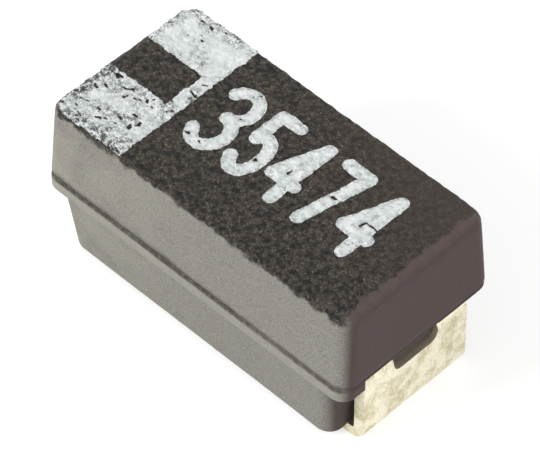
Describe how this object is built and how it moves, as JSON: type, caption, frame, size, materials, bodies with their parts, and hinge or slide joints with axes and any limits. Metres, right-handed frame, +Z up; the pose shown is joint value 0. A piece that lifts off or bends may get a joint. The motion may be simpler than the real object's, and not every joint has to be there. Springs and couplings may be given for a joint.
{
  "type": "tantalum capacitor",
  "caption": "Moulded chip tantalum capacitor: a small drafted epoxy block with a folded tin terminal at each end and a pale polarity band on top.",
  "frame": {"origin": "middle of the footprint, on the plane of the board that the two feet rest on", "axes": "+Z up out of the marked top face, +X from the marked anode end to the plain cathode end"},
  "size_m": [0.0032, 0.0016, 0.0015],
  "materials": {
    "moulded_epoxy": "fine-grained moulded epoxy, greyed on the long sides",
    "tinned_lead_frame": "matt tin plate",
    "sintered_tantalum": "porous, dull",
    "drawn_tantalum": "drawn, satin",
    "ptfe": "waxy white",
    "manganese_dioxide": "dull black",
    "graphite": "dull dark grey",
    "silver_paint": "matt silver paint",
    "silver_epoxy": "matt, silver filled",
    "marking_ink": "thin speckled print"
  },
  "bodies": {
    "root": {"case": "moulded_epoxy", "anode_terminal": "tinned_lead_frame", "cathode_terminal": "tinned_lead_frame", "tantalum_pellet": "sintered_tantalum", "tantalum_wire": "drawn_tantalum", "ptfe_washer": "ptfe", "manganese_dioxide_layer": "manganese_dioxide", "graphite_layer": "graphite", "silver_layer": "silver_paint", "silver_adhesive": "silver_epoxy", "polarity_band": "marking_ink"}
  },
  "joints": []
}
